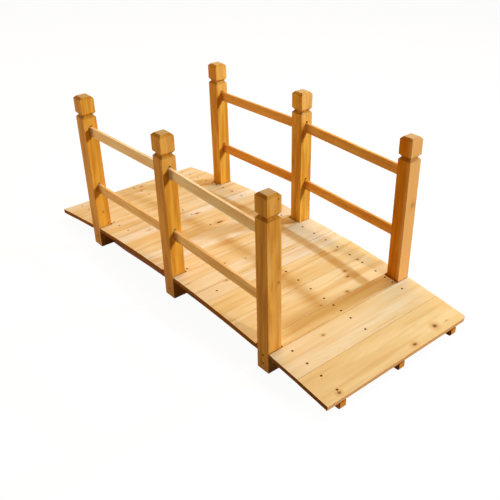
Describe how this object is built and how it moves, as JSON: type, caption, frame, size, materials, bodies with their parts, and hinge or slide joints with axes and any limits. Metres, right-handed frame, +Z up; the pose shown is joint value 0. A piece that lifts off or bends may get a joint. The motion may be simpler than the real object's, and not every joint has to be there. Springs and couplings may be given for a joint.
{
  "type": "arched garden footbridge",
  "caption": "Low arched wooden garden footbridge: cross planks on curved stringers, square posts with grooved heads and slim rails let into them on both sides.",
  "frame": {"origin": "on the ground, under the middle of the walkway", "axes": "+X along the walkway, +Y across it, +Z up"},
  "size_m": [1.4599, 0.598, 0.5725],
  "materials": {
    "deck_wood": "satin",
    "post_wood": "satin",
    "rail_wood": "satin",
    "stringer_wood": "satin",
    "screw_steel": "satin"
  },
  "bodies": {
    "root": {"stringer_near": "stringer_wood", "stringer_middle": "stringer_wood", "stringer_far": "stringer_wood", "post_near_left": "post_wood", "post_near_middle": "post_wood", "post_near_right": "post_wood", "post_far_left": "post_wood", "post_far_middle": "post_wood", "post_far_right": "post_wood", "rail_near_left_upper": "rail_wood", "rail_near_left_lower": "rail_wood", "rail_near_right_upper": "rail_wood", "rail_near_right_lower": "rail_wood", "rail_far_left_upper": "rail_wood", "rail_far_left_lower": "rail_wood", "rail_far_right_upper": "rail_wood", "rail_far_right_lower": "rail_wood", "plank_01": "deck_wood", "plank_02": "deck_wood", "plank_03": "deck_wood", "plank_04": "deck_wood", "plank_05": "deck_wood", "plank_06": "deck_wood", "plank_07": "deck_wood", "plank_08": "deck_wood", "plank_09": "deck_wood", "plank_10": "deck_wood", "plank_11": "deck_wood", "plank_12": "deck_wood", "plank_13": "deck_wood", "plank_14": "deck_wood", "plank_15": "deck_wood"}
  },
  "joints": []
}
